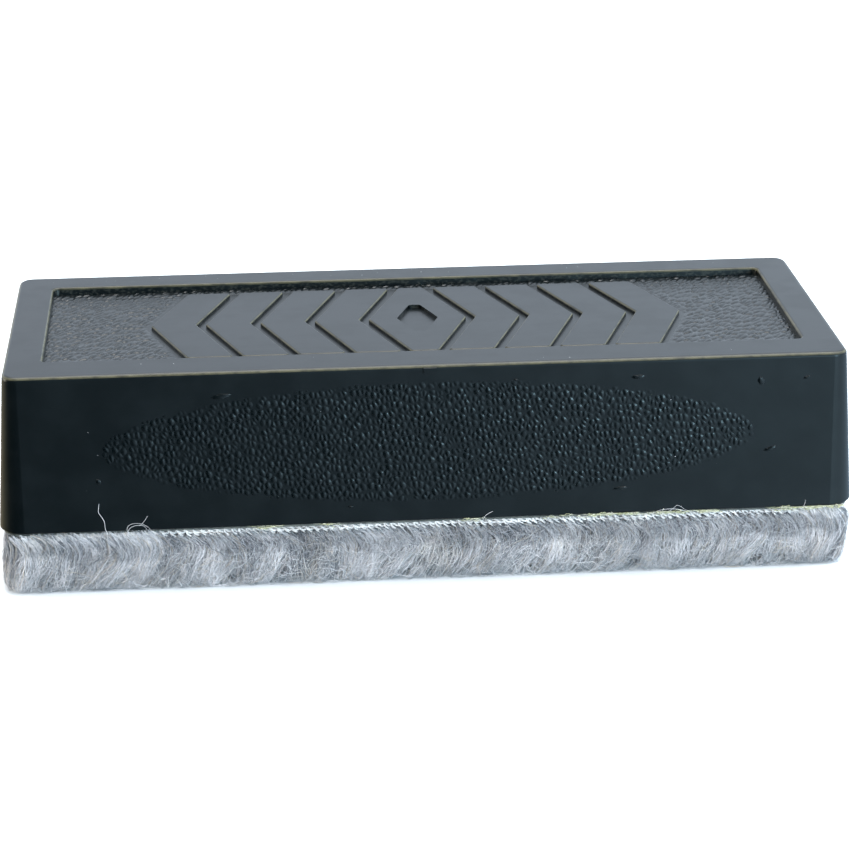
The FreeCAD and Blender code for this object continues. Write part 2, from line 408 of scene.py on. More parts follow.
def pebbleHeight(x, y, values, seed):
    # domed pebbles of uneven size: the gap between the two nearest seeds gives the valleys
    cell = values["cell"]
    u = (x + values["skew"] * y) / cell
    v = values["stretch"] * y / cell
    rng = np.random.default_rng(seed)
    table = rng.random((97, 89, 3))
    iu = np.floor(u).astype(int)
    iv = np.floor(v).astype(int)
    first = np.full(u.shape, 9.0)
    second = np.full(u.shape, 9.0)
    size = np.zeros(u.shape)
    for du in (-1, 0, 1):
        for dv in (-1, 0, 1):
            pick = table[(iu + du) % 97, (iv + dv) % 89]
            seedU = iu + du + 0.08 + 0.84 * pick[..., 0]
            seedV = iv + dv + 0.08 + 0.84 * pick[..., 1]
            distance = np.hypot(seedU - u, seedV - v)
            nearer = distance < first
            second = np.where(nearer, first, np.minimum(second, distance))
            size = np.where(nearer, pick[..., 2], size)
            first = np.where(nearer, distance, first)
    rise = 1.0 - np.exp(-((second - first) * cell / values["valley"]) ** 1.3)
    dome = np.cos(np.clip(first / 0.72, 0.0, 1.0) * math.pi / 2) ** values["crown"]
    return values["height"] * rise * dome * (0.45 + 0.55 * size)


def grainPlate(name, place, across, up, out, halfX, halfY, step, inside, values, seed, along=0.0):
    # a thin plate with a pebbled face: a grid trimmed to its outline, then closed behind
    # inside(x, y) is over 0 within the outline and gives the distance to the border in mm
    bm = bmesh.new()
    columns = int(round(2 * halfX / step))
    rows = int(round(2 * halfY / step))
    bmesh.ops.create_grid(bm, x_segments=columns, y_segments=rows, size=1.0)
    points = np.array([v.co for v in bm.verts])
    x = points[:, 0] * halfX
    y = points[:, 1] * halfY
    border = inside(x, y)
    faces = [f for f in bm.faces if any(border[v.index] < 0.0 for v in f.verts)]
    fade = smoothRamp(border, 0.0, values["fade"])
    height = values["lift"] + fade * pebbleHeight(x + along + 200.0, y + 200.0, values, seed)
    height -= values["lip"] * (1.0 - smoothRamp(border, 0.0, 0.25))
    frameOf = Matrix((across, up, out)).transposed()
    for vert, px, py, pz in zip(bm.verts, x, y, height):
        vert.co = frameOf @ Vector((px, py, pz))
    bmesh.ops.delete(bm, geom=faces, context="FACES")
    rim = [e for e in bm.edges if e.is_boundary]
    for edge in rim:
        edge.smooth = False
    skirt = bmesh.ops.extrude_edge_only(bm, edges=rim)["geom"]
    sunk = [g for g in skirt if isinstance(g, bmesh.types.BMVert)]
    bmesh.ops.translate(bm, verts=sunk, vec=-Vector(out) * values["skirt"])
    bmesh.ops.holes_fill(bm, edges=[e for e in bm.edges if e.is_boundary], sides=0)
    bmesh.ops.recalc_face_normals(bm, faces=bm.faces)
    bmesh.ops.translate(bm, verts=bm.verts, vec=Vector(place))
    bmesh.ops.scale(bm, verts=bm.verts, vec=(mm, mm, mm))
    obj = meshObject(name, bm, [grainMaterial])
    return linkPiece(obj, "black_plastic")


panelGrain = dict(grain, cell=0.95, height=0.20, valley=0.20, crown=0.30, stretch=0.50, skew=-0.45)
sideOval = {
    "halfLength": 48.4,
    "halfHeight": 9.5,
    "centreZ": 22.0,
    "draft": 3.9,          # degrees, as the handle's sides lean
    "frontStep": 0.118,
    "backStep": 0.2,
}


def ovalPlates(values):
    low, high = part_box("handle_shell")
    rimZ = low[2] / mm
    rimY = high[1] / mm
    lean = math.radians(values["draft"])
    a, b = values["halfLength"], values["halfHeight"] / math.cos(lean)
    faceY = rimY - (values["centreZ"] - rimZ) * math.tan(lean)
    plates = [
        ("frontGrainLeft", -1, -0.5, 0.5, values["frontStep"]),
        ("frontGrainRight", -1, 0.5, 0.5, values["frontStep"]),
        ("backGrain", 1, 0.0, 1.0, values["backStep"]),
    ]
    for name, side, middle, part, step in plates:

        def inOval(x, y):
            radius = np.hypot((x + middle * a) / a, y / b)
            return (1.0 - radius) * np.minimum(a, b / np.maximum(0.05, np.abs(y) / b + 0.12))

        across = (-side, 0.0, 0.0)
        up = (0.0, -side * math.sin(lean), math.cos(lean))
        out = (0.0, side * math.cos(lean), math.sin(lean))
        place = (middle * a, side * faceY, values["centreZ"])
        grainPlate(name, place, across, up, out, part * a, b + 0.3, step, inOval, grain, 11, middle * a)


panelFloor = {
    "z": 32.35,
    "halfLength": 56.22,
    "halfWidth": 17.38,
    "shiftY": 0.65,
    "ornamentTip": 40.68,      # how far the outermost chevrons reach along the panel
    "ornamentPoint": 5.5,
    "ornamentFront": -15.29,
    "ornamentBack": 14.98,
    "margin": 0.6,
    "step": 0.125,
}


def panelPlates(values):
    middle = (values["ornamentFront"] + values["ornamentBack"]) / 2
    depth = (values["ornamentBack"] - values["ornamentFront"]) / 2
    for name, side, seed in (("leftPanelGrain", -1, 37), ("rightPanelGrain", 1, 41)):
        centreX = side * values["halfLength"] / 2

        def onFloor(x, y):
            px = np.abs(x + centreX)
            py = y + values["shiftY"]
            toWall = np.minimum(values["halfLength"] - px, values["halfWidth"] - np.abs(y))
            tip = values["ornamentTip"] - values["ornamentPoint"] * np.abs(py - middle) / depth
            offPoint = (px - tip) * 0.94
            offSide = np.abs(py - middle) - depth
            toOrnament = np.maximum(offPoint, offSide) - values["margin"]
            return np.minimum(toWall + 0.9, toOrnament)

        across, up, out = (1.0, 0.0, 0.0), (0.0, 1.0, 0.0), (0.0, 0.0, 1.0)
        grainPlate(name, (centreX, values["shiftY"], values["z"]), across, up, out, values["halfLength"] / 2,
                   values["halfWidth"], values["step"], onFloor, panelGrain, seed)


ovalPlates(sideOval)
panelPlates(panelFloor)
print("stage: grain")


def fibreTone():
    # one tone of fibre: soft patches of light and warmth along the pad, and painted shade towards the roots
    group, given, result = nodeGroup(
        "fibreTone", [("Light", "Color"), ("Shade", "Color"), ("Warm", "Color"),
                      ("Patch Scale", "Float"), ("Knee Shade", "Float")], [("Colour", "Color")])
    coords = objectCoords(group)
    patch = addNode(group, "ShaderNodeTexNoise", Detail=2.0)
    group.links.new(coords, patch.inputs["Vector"])
    group.links.new(given["Patch Scale"], patch.inputs["Scale"])
    patches = mathOf(group, "MULTIPLY", patch.outputs["Fac"], 0.6)
    fine = mathOf(group, "MULTIPLY", noiseOf(group, coords, 2600.0, 2.0), 0.4)
    blend = rampOf(group, mathOf(group, "ADD", patches, fine), 0.39, 0.61)
    tone = mixColour(group, blend, given["Shade"], given["Light"])
    warmth = rampOf(group, noiseOf(group, coords, 130.0, 2.0), 0.52, 0.72, 0.0, 0.75)
    tone = mixColour(group, warmth, tone, given["Warm"], blend="MULTIPLY")
    # painted shade: a darker band just under the cloth, where the fibres turn in
    wander = mathOf(group, "SUBTRACT", noiseOf(group, coords, 240.0, 2.0), 0.5)
    level = mathOf(group, "ADD", axesOf(group, coords)["Z"], mathOf(group, "MULTIPLY", wander, 0.0075))
    below = rampOf(group, level, 0.0078, 0.0092, 1.0, 0.0)
    knee = mathOf(group, "MULTIPLY", rampOf(group, level, 0.0044, 0.0062), below)
    depth = mathOf(group, "MULTIPLY", knee, given["Knee Shade"])
    tone = mixColour(group, depth, tone, (0.40, 0.42, 0.45), blend="MULTIPLY")
    group.links.new(tone, result["Colour"])
    return group


toneGroup = fibreTone()


def fibreMaterial(name, light, shade, patchScale=260.0, rough=0.62, paintedKneeShade=0.0):
    material, tree, shader = startMaterial(name)
    tone = placeGroup(tree, toneGroup, Light=light, Shade=shade, Warm=(1.0, 0.975, 0.93),
                      Patch_Scale=patchScale, Knee_Shade=paintedKneeShade)
    tree.links.new(tone["Colour"], shader.inputs["Base Color"])
    uneven = rampOf(tree, noiseOf(tree, objectCoords(tree), 1500.0, 2.0), 0.3, 0.7, rough - 0.08, rough + 0.10)
    tree.links.new(uneven, shader.inputs["Roughness"])
    shader.inputs["Specular IOR Level"].default_value = 0.35
    shader.inputs["Sheen Weight"].default_value = 0.15
    return material


pileTones = [
    fibreMaterial("paleFibre", (0.90, 0.86, 0.87), (0.64, 0.62, 0.64), paintedKneeShade=0.50),
    fibreMaterial("greyFibre", (0.62, 0.60, 0.62), (0.41, 0.41, 0.43), paintedKneeShade=0.55),
    fibreMaterial("darkFibre", (0.34, 0.34, 0.365), (0.18, 0.185, 0.205), paintedKneeShade=0.50),
    fibreMaterial("warmFibre", (0.70, 0.61, 0.53), (0.50, 0.43, 0.37), paintedKneeShade=0.45),
]
chainYarnMaterial = fibreMaterial("chainYarn", (0.96, 0.92, 0.90), (0.80, 0.77, 0.76), patchScale=700.0)
frayMaterials = [
    fibreMaterial("yellowFray", (0.68, 0.67, 0.42), (0.50, 0.50, 0.28)),
    fibreMaterial("paleFray", (0.84, 0.81, 0.66), (0.66, 0.64, 0.49)),
]


def strandProfile():
    # the three-sided section that every fibre is drawn with
    data = bpy.data.curves.new("strandProfile", "CURVE")
    data.dimensions = "2D"
    spline = data.splines.new("POLY")
    spline.points.add(2)
    for point, angle in zip(spline.points, (90, 210, 330)):
        point.co = (math.cos(math.radians(angle)), math.sin(math.radians(angle)), 0.0, 1.0)
    spline.use_cyclic_u = True
    return toScene(bpy.data.objects.new("strandProfile", data))


def strandMesh(name, paths, radii, tones, materials):
    # paths and radii in mm, one row for each strand; tones says which material each strand takes
    profile = strandProfile()
    data = bpy.data.curves.new(name, "CURVE")
    data.dimensions = "3D"
    data.bevel_mode = "OBJECT"
    data.bevel_object = profile
    data.use_fill_caps = True
    for material in materials:
        data.materials.append(material)
    for path, radius, tone in zip(paths, radii, tones):
        spline = data.splines.new("POLY")
        spline.points.add(len(path) - 1)
        spline.points.foreach_set("co", np.column_stack((path * mm, np.ones(len(path)))).ravel())
        spline.points.foreach_set("radius", np.asarray(radius) * mm)
        spline.material_index = int(tone)
        spline.use_smooth = True
    curve = toScene(bpy.data.objects.new(name + "Curve", data))
    bpy.context.view_layer.update()
    mesh = bpy.data.meshes.new_from_object(curve.evaluated_get(bpy.context.evaluated_depsgraph_get()))
    mesh.name = name
    bpy.data.objects.remove(curve)
    bpy.data.objects.remove(profile)
    bm = bmesh.new()
    bm.from_mesh(mesh)
    bmesh.ops.remove_doubles(bm, verts=bm.verts, dist=1e-9)
    volume = bm.calc_volume(signed=True)
    if volume < 0:
        bmesh.ops.reverse_faces(bm, faces=bm.faces)
    bm.to_mesh(mesh)
    bm.free()
    return bpy.data.objects.new(name, mesh)


def outlineLengths(values):
    # of each long side and each end between the corners, and of a corner's arc
    runX = 2 * (values["halfX"] - values["corner"])
    runY = 2 * (values["halfY"] - values["corner"])
    return runX, runY, math.pi / 2 * values["corner"]


def roundOutline(s, values):
    # where a distance s along the pad's outline is, from the front left, and which way is out there
    runX, runY, arc = outlineLengths(values)
    halfX, halfY, radius = values["halfX"], values["halfY"], values["corner"]
    cx, cy = halfX - radius, halfY - radius
    s = np.mod(s, 2 * (runX + runY) + 4 * arc)
    x = np.zeros_like(s)
    y = np.zeros_like(s)
    angle = np.zeros_like(s)     # of the outward direction
    start = 0.0
    for run, turn, fromX, fromY, dirX, dirY, cornerX, cornerY in (
            (runX, -90.0, -cx, -halfY, 1, 0, cx, -cy),
            (runY, 0.0, halfX, -cy, 0, 1, cx, cy),
            (runX, 90.0, cx, halfY, -1, 0, -cx, cy),
            (runY, 180.0, -halfX, cy, 0, -1, -cx, -cy)):
        onRun = (s >= start) & (s < start + run)
        x = np.where(onRun, fromX + dirX * (s - start), x)
        y = np.where(onRun, fromY + dirY * (s - start), y)
        angle = np.where(onRun, math.radians(turn), angle)
        start += run
        onArc = (s >= start) & (s < start + arc)
        bend = math.radians(turn) + (s - start) / radius
        x = np.where(onArc, cornerX + radius * np.cos(bend), x)
        y = np.where(onArc, cornerY + radius * np.sin(bend), y)
        angle = np.where(onArc, bend, angle)
        start += arc
    out = np.stack((np.cos(angle), np.sin(angle)), axis=-1)
    return np.stack((x, y), axis=-1), out


pad = {
    "halfX": 62.8,
    "halfY": 24.7,
    "corner": 2.6,
    "top": 8.2,            # mm, where the ground cloth begins
    "edgeRadius": 1.6,
    "lockWidth": 3.4,      # mm between neighbouring locks of fibre
    "wispsPerMm": 15.0,
    "fibresPerWisp": 4,
    "fibreRadius": 0.036,
    "cover": 1.3,          # mm, how far fibres climb over the cloth's edge at the ends and the front left
    "coverLeft": -37.0,    # mm along X, where they begin to climb on the long front side
    "coverRight": 50.0,
    "shortShare": 0.28,    # of the wisps end part of the way down
    "toneSteps": (0.36, 0.62),   # pale below the first, dark above the second
    "warmShare": 0.09,
}


def sideWisps(startS, endS, values, seed, density, points):
    # fibre paths over one stretch of the outline, as (strands, points, 3) in mm
    rng = np.random.default_rng(seed)
    length = endS - startS
    wisps = int(length * values["wispsPerMm"] * density)
    perWisp = values["fibresPerWisp"]
    t = np.linspace(0.0, 1.0, points)

    lockCount = max(2, int(length / values["lockWidth"]) + 2)
    lockStep = (length + 2 * values["lockWidth"]) / (lockCount - 1)
    lockS = startS - values["lockWidth"] + np.arange(lockCount) * lockStep + rng.uniform(-1.0, 1.0, lockCount)
    lockLean = rng.normal(0.0, 0.9, lockCount)
    lockPhase = rng.uniform(0.0, 1.0, lockCount)
    lockBulge = rng.uniform(0.0, 0.55, lockCount)
    lockTip = rng.uniform(0.0, 0.20, lockCount)
    lockKnee = rng.uniform(0.24, 0.40, lockCount)
    lockTone = rng.normal(0.05, 0.14, lockCount)

    rootS = rng.uniform(startS, endS, wisps)
    near = np.argmin(np.abs(rootS[:, None] - lockS[None, :] + rng.normal(0.0, 0.35, (wisps, 1))), axis=1)
    depth = rng.uniform(0.0, 1.0, wisps) ** 0.85
    knee = np.clip(lockKnee[near] + rng.normal(0.0, 0.05, wisps), 0.15, 0.55)
    first = rng.normal(1.55, 0.55, wisps)
    second = rng.normal(2.2, 0.7, wisps) - lockLean[near]
    phase = lockPhase[near] + rng.normal(0.0, 0.20, wisps)
    wave = np.abs(rng.normal(0.28, 0.12, wisps))
    pull = rng.uniform(0.15, 0.75, wisps)
    # random tone per wisp, plus painted shade: wisps set deeper into the pile pick darker tones
    wispToneAndShade = rng.normal(0.0, 0.16, wisps) - lockTone[near] + 0.30 * (depth - 0.5)
    rootPlace = roundOutline(rootS, values)[0]
    onBack = rootPlace[:, 1] > 0.0
    rootX = rootPlace[:, 0]
    cover = np.maximum(smoothRamp(values["coverLeft"] - rootX, 0.0, 5.0),
                       smoothRamp(rootX - values["coverRight"], 0.0, 8.0))
    cover = np.where(onBack, smoothRamp(np.abs(rootX) - values["coverRight"], 0.0, 4.0), cover)
    cover = cover * (rng.random(wisps) < 0.75)
    depth = depth * (1.0 - 0.75 * cover)
    rootZ = values["top"] + rng.uniform(-0.6, 0.35, wisps)
    rootZ = rootZ + values["cover"] * cover * rng.uniform(0.7, 1.0, wisps)
    tipZ = 0.07 + lockTip[near] + rng.uniform(0.0, 0.25, wisps)
    short = rng.random(wisps) < values["shortShare"]
    tipZ = np.where(short, rng.uniform(0.8, 4.5, wisps), tipZ)
    offLock = np.abs(rootS - lockS[near]) / (0.5 * values["lockWidth"])

    def spread(a):
        return np.repeat(a, perWisp)[:, None]

    count = wisps * perWisp
    part = np.repeat(t[None, :], count, axis=0)     # 0 at the root, 1 at the tip
    toKnee = np.clip(part / spread(knee), 0.0, 1.0)
    pastKnee = np.clip((part - spread(knee)) / (1.0 - spread(knee)), 0.0, 1.0)
    along = spread(first) * np.sin(toKnee * math.pi / 2)
    along = along - spread(second) * (0.35 * pastKnee + 0.65 * pastKnee ** 1.5)
    along = along + spread(wave) * np.sin(2 * math.pi * (1.3 * part + spread(phase))) * (0.3 + 0.7 * part)
    ownPhase = rng.uniform(0.0, 1.0, (count, 1))
    ownTurns = rng.uniform(1.8, 3.3, (count, 1))
    ownWave = np.abs(rng.normal(0.0, 0.115, (count, 1)))
    along = along + ownWave * np.sin(2 * math.pi * (ownTurns * part + ownPhase))
    ownLean = rng.normal(0.0, 0.50, (count, 1)) * part
    splay = rng.normal(0.0, 0.13, (count, 1)) * (0.7 + 0.9 * part)
    gather = spread(lockS[near] - rootS) * spread(pull) * part ** 1.5      # tips draw towards their lock
    s = spread(rootS) + along + ownLean + splay + gather
    z = spread(rootZ) * (1.0 - part) + spread(tipZ) * part + rng.normal(0.0, 0.12, (count, 1)) * (1.0 - part)
    z = z + 0.32 * np.sin(2 * math.pi * (ownTurns * 0.8 * part + ownPhase * 5.0)) * part * (1.0 - part)
    z = np.maximum(z, 0.07)
    bottom = np.clip(values["edgeRadius"] - z, 0.0, values["edgeRadius"])
    rounding = values["edgeRadius"] - np.sqrt(np.maximum(values["edgeRadius"] ** 2 - bottom ** 2, 0.0))
    w = -1.05 * spread(depth) + spread(lockBulge[near]) * np.sin(math.pi * part)
    atEnd = smoothRamp(np.abs(rootX) - 61.4, 0.0, 1.2)
    cover = cover * (1.0 - 0.75 * atEnd)
    w = w - 0.45 * spread(atEnd * (rootX > 0.0))
    w = w + spread(atEnd) * (0.04 + 0.52 * part) - (0.22 + 0.30 * spread(atEnd)) * rounding
    w = w + spread(0.42 * cover - 0.45 * (1.0 - cover)) * (1.0 - part) ** 4
    parting = spread(np.clip(offLock, 0.0, 1.4)) ** 2 * smoothRamp(part, 0.25, 0.7)     # dips between locks
    w = w - (0.28 - 0.15 * spread(atEnd)) * parting + rng.normal(0.0, 0.07, (count, 1))
    w = w + 0.09 * np.sin(2 * math.pi * (ownTurns * 0.7 * part + ownPhase * 3.0))
    place, out = roundOutline(s, values)
    paths = np.concatenate((place + out * w[..., None], z[..., None]), axis=-1)
    radius = values["fibreRadius"] * rng.uniform(0.65, 1.35, (count, 1)) * (1.0 - 0.5 * part ** 2)
    pick = 0.385 + spread(wispToneAndShade)[:, 0] + rng.normal(0.0, 0.17, count)
    tone = np.digitize(pick, values["toneSteps"])
    tone = np.where(rng.random(count) < values["warmShare"], 3, tone)
    return paths, radius, tone


def sidePile(values):
    runX, runY, arc = outlineLengths(values)
    third = (runX + arc) / 3
    stretches = [
        # name, length in mm, density, points along each fibre; in order from the front left corner
        ("frontPileLeft", third, 1.0, 13),
        ("frontPileMiddle", third, 1.0, 13),
        ("frontPileRight", third, 1.0, 13),
        ("rightEndPile", runY + arc, 0.6, 10),
        ("backPileRight", 1.5 * third, 0.52, 9),
        ("backPileLeft", 1.5 * third, 0.52, 9),
        ("leftEndPile", runY + arc, 0.6, 10),
    ]
    start = -arc / 2
    for index, (name, length, density, points) in enumerate(stretches):
        paths, radii, tones = sideWisps(start, start + length, values, 100 + index, density, points)
        linkPiece(strandMesh(name, paths, radii, tones, pileTones), "pile", "pile")
        start += length


def strayCurls(values):
    # single fibres worked loose, curling over the locks
    rng = np.random.default_rng(201)
    runX, runY, arc = outlineLengths(values)
    count = values["count"]
    anywhere = rng.uniform(0.0, 2 * (runX + runY) + 4 * arc, count)
    s0 = np.where(rng.random(count) < values["onFront"], rng.uniform(-arc / 2, runX + arc / 2, count), anywhere)
    steps = values["points"]
    length = rng.uniform(*values["length"], (count, 1)) / steps
    heading = rng.uniform(-math.pi, math.pi, (count, 1))
    drift = rng.normal(0.0, 0.16, (count, 1))
    heading = heading + np.cumsum(drift + rng.normal(0.0, values["curl"], (count, steps)), axis=1)
    z0 = rng.uniform(0.3, 8.4, (count, 1))
    s = s0[:, None] + np.cumsum(length * np.cos(heading), axis=1)
    z = np.clip(z0 + np.cumsum(length * np.sin(heading), axis=1), 0.15, 8.9)
    place, out = roundOutline(s, values)
    t = np.linspace(0.0, 1.0, steps)[None, :]
    low = np.clip(1.0 - z, 0.0, 1.0)
    w = rng.uniform(-0.10, 0.18, (count, 1)) + 0.15 * np.sin(math.pi * t) - 0.35 * low ** 2
    paths = np.concatenate((place + out * w[..., None], z[..., None]), axis=-1)
    taper = np.sin(math.pi * (0.15 + 0.7 * t)) ** 0.5
    radius = values["curlRadius"] * rng.uniform(0.7, 1.3, (count, 1)) * taper
    tones = rng.choice([0, 1, 2, 3], count, p=[0.52, 0.30, 0.10, 0.08])
    linkPiece(strandMesh("strayCurls", paths, radius, tones, pileTones), "pile", "pile")


curls = dict(pad, count=2300, points=11, length=(2.2, 5.0), curl=0.42, curlRadius=0.03, onFront=0.6)
sidePile(pad)
strayCurls(curls)
print("stage: side fibres")


# the soft body that the fibres stand on
core = {
    "inset": 1.15,         # mm inside the pad's outline
    "bottom": 0.75,
    "top": 8.05,
    "cornerBevel": 2.0,
    "edgeBevel": 1.7,
    "voxel": 0.62,
    "swell": 0.22,         # mm, the unevenness that tufts give the skin
    "tuft": dict(grain, cell=2.3, height=1.0, valley=0.9),
    "lowest": 0.25,
    "fill": 0.55,
}


def padCore(values, outlineOf, material):
    bm = bmesh.new()
    bmesh.ops.create_cube(bm, size=2.0)
    halfX = outlineOf["halfX"] - values["inset"]
    halfY = outlineOf["halfY"] - values["inset"]
    halfZ = (values["top"] - values["bottom"]) / 2
    bmesh.ops.scale(bm, verts=bm.verts, vec=(halfX, halfY, halfZ))
    upright = [e for e in bm.edges if abs(e.verts[0].co.z - e.verts[1].co.z) > halfZ]
    bmesh.ops.bevel(bm, geom=upright, offset=values["cornerBevel"], segments=5, profile=0.5,
                    affect="EDGES", material=-1)
    lower = [e for e in bm.edges if all(v.co.z < 0 for v in e.verts)]
    bmesh.ops.bevel(bm, geom=lower, offset=values["edgeBevel"], segments=3, profile=0.5,
                    affect="EDGES", material=-1)
    bmesh.ops.translate(bm, verts=bm.verts, vec=(0.0, 0.0, halfZ + values["bottom"]))
    rough = toScene(meshObject("padCoreRough", bm, [material]))
    remesh = rough.modifiers.new("evenSkin", "REMESH")
    remesh.mode = "VOXEL"
    remesh.voxel_size = values["voxel"]
    bpy.context.view_layer.update()
    mesh = bpy.data.meshes.new_from_object(rough.evaluated_get(bpy.context.evaluated_depsgraph_get()))
    bpy.data.objects.remove(rough)
    count = len(mesh.vertices)
    points = np.empty(count * 3, np.float32)
    normals = np.empty(count * 3, np.float32)
    mesh.vertices.foreach_get("co", points)
    mesh.vertices.foreach_get("normal", normals)
    points = points.reshape(-1, 3).astype(float)
    normals = normals.reshape(-1, 3).astype(float)
    x, y, z = points.T
    swell = pebbleHeight(x + z + 300.0, y - z + 300.0, values["tuft"], 5) - 0.4
    swell = swell * values["swell"] * smoothRamp(values["top"] - z, 0.0, 1.5)
    points = points + normals * swell[:, None]
    points[:, 2] = np.maximum(points[:, 2], values["lowest"])
    mesh.vertices.foreach_set("co", (points * mm).ravel())
    mesh.polygons.foreach_set("use_smooth", [True] * len(mesh.polygons))
    obj = linkPiece(bpy.data.objects.new("padCore", mesh), "pile", "pile")


padCore(core, pad, fibreMaterial("innerFibre", (0.52, 0.52, 0.55), (0.36, 0.365, 0.39), 900.0, 0.8))
print("stage: pad core")


wipingFace = {
    "strands": 5600,
    "radius": 0.085,
    "points": 5,
    "clump": 4.2,          # mm across which the tips lie the same way
    "root": 1.25,          # mm up, where the strands leave the core
    "reach": 2.2,
}


def wipingPile(values, outlineOf):
    rng = np.random.default_rng(71)
    half = values["strands"] // 2
    t = np.linspace(0.0, 1.0, values["points"])[None, :]
    for name, side in (("wipingPileLeft", -1), ("wipingPileRight", 1)):
        x = rng.uniform(0.0, outlineOf["halfX"] - 1.7, half) * side
        y = rng.uniform(-1.0, 1.0, half) * (outlineOf["halfY"] - 1.7)
        swirl = np.sin(x / values["clump"] + 1.3 * np.sin(y / 5.1))
        swirl = swirl + np.cos(y / values["clump"] - 0.8 * np.sin(x / 6.3))
        heading = -0.6 + 0.9 * swirl + rng.normal(0.0, 0.45, half)
        reach = values["reach"] * rng.uniform(0.5, 1.2, half)
        bend = rng.normal(0.0, 0.35, half)
        angle = heading[:, None] + bend[:, None] * t
        px = x[:, None] + reach[:, None] * t * np.cos(angle)
        py = y[:, None] + reach[:, None] * t * np.sin(angle)
        px = np.clip(px, -outlineOf["halfX"] + 1.0, outlineOf["halfX"] - 1.0)
        py = np.clip(py, -outlineOf["halfY"] + 1.0, outlineOf["halfY"] - 1.0)
        lowest = rng.uniform(0.10, 0.32, half)[:, None]
        pz = values["root"] + (lowest - values["root"]) * np.sin(np.clip(t * 1.5, 0.0, 1.0) * math.pi / 2)
        pz = pz + 0.12 * np.clip(t - 0.66, 0.0, 1.0)
        paths = np.stack((px, py, pz), axis=-1)
        radii = values["radius"] * rng.uniform(0.6, 1.1, (half, 1)) * (1.0 - 0.5 * t ** 2)
        tones = rng.choice([0, 1, 2, 3], half, p=[0.34, 0.42, 0.15, 0.09])
        linkPiece(strandMesh(name, paths, radii, tones, pileTones), "pile", "pile")


wipingPile(wipingFace, pad)
print("stage: wiping face")


# the twisted yarn along each long edge of the pad, and the loops that sew it down
chain = {
    "halfLength": 60.6,
    "y": 24.50,
    "z": 9.06,
    "plyTurn": 2.25,       # mm for a full turn of the two plies
    "plyOffset": 0.235,
    "strandOffset": 0.10,
    "strandRadius": 0.074,
    "strandsPerPly": 4,
    "step": 0.2,
    "stitch": 1.12,        # mm between the loops that drop from the chain
    "stitchStrands": 6,
}


def edgeChain(values):
    for name, side, seed in (("frontEdgeChain", -1, 81), ("backEdgeChain", 1, 82)):
        rng = np.random.default_rng(seed)
        n = int(2 * values["halfLength"] / values["step"])
        x = np.linspace(-values["halfLength"], values["halfLength"], n)
        sway = 0.07 * np.sin(x / 4.1 + seed) + 0.05 * np.sin(x / 1.7 + 2.0)
        rise = 0.07 * np.sin(x / 6.3 + 1.0) + 0.04 * np.sin(x / 2.3)
        turn = 2 * math.pi * (x / values["plyTurn"] + 0.12 * np.sin(x / 3.7))
        paths = []
        radii = []
        for ply in (0.0, math.pi):
            cy = values["plyOffset"] * np.cos(turn + ply)
            cz = values["plyOffset"] * np.sin(turn + ply)
            for k in range(values["strandsPerPly"]):
                own = -1.6 * turn + 2 * math.pi * k / values["strandsPerPly"] + rng.uniform(0.0, 0.6)
                oy = values["strandOffset"] * np.cos(own)
                oz = values["strandOffset"] * np.sin(own)
                y = values["y"] + sway - (cy + oy)
                z = values["z"] + rise + cz + oz
                paths.append(np.stack((x, side * y, z), axis=-1))
                radii.append(values["strandRadius"] * (1.0 + 0.25 * np.sin(x * 2.1 + k * 1.9 + ply)))
        stitches = int(2 * (values["halfLength"] - 1.0) / values["stitch"])
        t = np.linspace(0.0, 1.0, 7)
        for i in range(stitches):
            x0 = -values["halfLength"] + 0.8 + i * values["stitch"] + rng.normal(0.0, 0.07)
            for k in range(values["stitchStrands"]):
                lean = rng.normal(0.74, 0.06)
                drop = rng.normal(1.02, 0.08)
                off = rng.normal(0.0, 0.05)
                px = x0 + off + lean * t - 0.15 * np.sin(math.pi * t)
                pz = values["z"] + 0.24 - drop * t ** 0.9 + rng.normal(0.0, 0.03)
                py = values["y"] + 0.08 + 0.16 * np.sin(math.pi * np.clip(t * 1.2, 0, 1)) - 0.20 * t
                py = py + rng.normal(0.0, 0.03)
                paths.append(np.stack((px, side * py, pz), axis=-1))
                radii.append(values["strandRadius"] * 1.15 * np.sin(math.pi * (0.18 + 0.70 * t)))
        yarn = strandMesh(name, paths, radii, [0] * len(paths), [chainYarnMaterial])
        linkPiece(yarn, "ground_yarn", "edge_chain_yarns")


edgeChain(chain)
print("stage: edge chains")


# threads of old glue, teased out under the rim
fray = {
    "y": 25.02,
    "z": 9.66,
    "curls": 430,
    "radius": 0.040,
    "dense": (16.0, 61.5),     # mm along X where the glue shows most
    "rimY": 25.42,
    "rimZ": 9.80,
}


